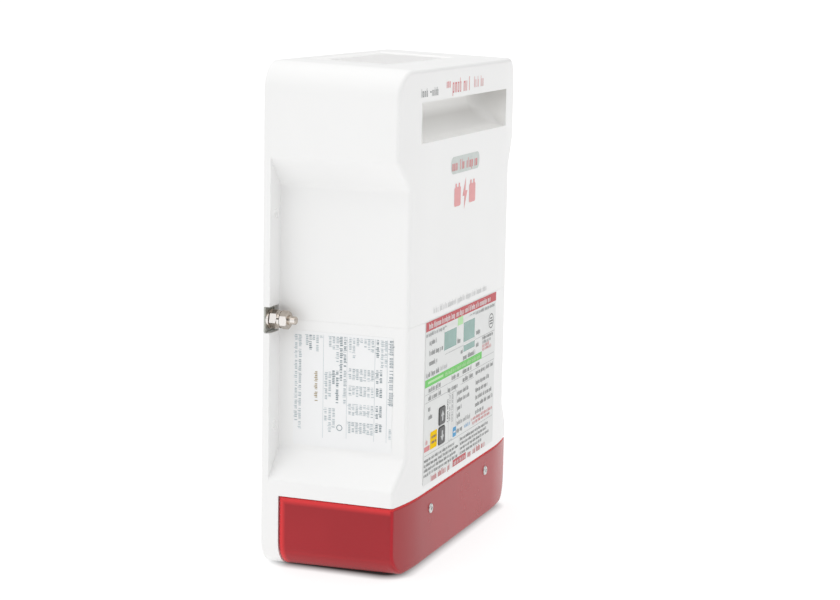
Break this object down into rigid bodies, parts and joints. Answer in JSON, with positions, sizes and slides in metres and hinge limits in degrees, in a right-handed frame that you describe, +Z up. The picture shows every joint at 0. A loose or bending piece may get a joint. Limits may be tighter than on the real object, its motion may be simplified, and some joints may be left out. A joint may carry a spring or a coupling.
{
  "type": "battery charger",
  "caption": "Wall-mounted digital battery charger: waisted white case, red wiring cover, label with windows and keys, earth stud, finger scoop and fan grille.",
  "frame": {"origin": "middle of the outer box at its lowest point", "axes": "+Z up the case, the labelled front faces -Y, the wall side faces +Y, width along X"},
  "size_m": [0.215, 0.091, 0.31],
  "materials": {
    "white_shell": "semi-gloss",
    "white_grille": "semi-gloss",
    "passivated_plate": "green-grey passivated",
    "zinc_screw": "zinc plated",
    "red_cover": "gloss",
    "front_film": "satin film",
    "teal_window": "tinted window",
    "grey_key": "satin",
    "label_film": "satin film",
    "zinc_hardware": "zinc plated",
    "black_plastic": "matte",
    "black_insulation": "matte",
    "green_board": "solder mask",
    "display_body": "satin",
    "led_resin": "gloss",
    "ribbon_grey": "matte",
    "brass_standoff": "plain",
    "sink_aluminium": "extruded",
    "ferrite": "matte",
    "copper_winding": "enamelled",
    "capacitor_sleeve": "sleeve",
    "fuse_glass": "clear",
    "brass_terminal": "plated",
    "copper_strap": "plain",
    "terminal_plastic": "matte",
    "lead_insulation": "matte"
  },
  "bodies": {
    "case": {"upper_housing": "white_shell", "lower_housing": "white_shell", "top_grille": "white_grille", "back_plate": "passivated_plate", "back_plate_screws": "zinc_screw", "label_panel": "front_film", "display_windows": "teal_window", "side_label": "label_film", "earth_stud": "zinc_hardware", "earth_washer": "zinc_hardware", "earth_spring_washer": "zinc_hardware", "earth_nuts": "zinc_hardware", "fan_frame_left": "black_plastic", "fan_frame_right": "black_plastic", "fan_screws": "zinc_screw", "fan_leads": "black_insulation", "control_board": "green_board", "control_board_screws": "zinc_screw", "display_modules": "display_body", "key_switches": "black_plastic", "status_leds": "led_resin", "ribbon_cable": "ribbon_grey", "main_board": "green_board", "board_standoffs": "brass_standoff", "board_screws": "zinc_screw", "heatsink_left": "sink_aluminium", "heatsink_right": "sink_aluminium", "power_transistors": "black_plastic", "transformer_core": "ferrite", "transformer_winding": "copper_winding", "choke_core": "ferrite", "choke_winding": "copper_winding", "input_capacitors": "capacitor_sleeve", "output_capacitors": "capacitor_sleeve", "fuse_holder": "black_plastic", "fuse": "fuse_glass", "dc_terminal_base": "black_plastic", "dc_studs": "brass_terminal", "dc_straps": "copper_strap", "dc_washers": "brass_terminal", "dc_nuts": "brass_terminal", "ac_terminal_block": "terminal_plastic", "ac_terminal_screws": "zinc_screw", "ac_leads": "lead_insulation", "cord_clamp": "black_plastic", "cord_clamp_screws": "zinc_screw"},
    "cover": {"terminal_cover": "red_cover", "cover_screws": "zinc_screw"},
    "upper_key": {"key_up": "grey_key"},
    "lower_key": {"key_down": "grey_key"},
    "left_rotor": {"fan_rotor_left": "black_plastic"},
    "right_rotor": {"fan_rotor_right": "black_plastic"}
  },
  "joints": [
    {"name": "cover_off", "type": "slide", "parent": "case", "child": "cover", "axis": [0, -1, 0], "range_m": [0, 0.12]},
    {"name": "key_up_press", "type": "slide", "parent": "case", "child": "upper_key", "axis": [0, 1, 0], "range_m": [0, 0.0006], "stiffness_N_per_m": 1500},
    {"name": "key_down_press", "type": "slide", "parent": "case", "child": "lower_key", "axis": [0, 1, 0], "range_m": [0, 0.0006], "stiffness_N_per_m": 1500},
    {"name": "fan_left_spin", "type": "hinge", "parent": "case", "child": "left_rotor", "pos_m": [-0.031, 0.0142, 0.29], "axis": [0, 0, 1], "continuous": true},
    {"name": "fan_right_spin", "type": "hinge", "parent": "case", "child": "right_rotor", "pos_m": [0.031, 0.0142, 0.29], "axis": [0, 0, 1], "continuous": true}
  ]
}
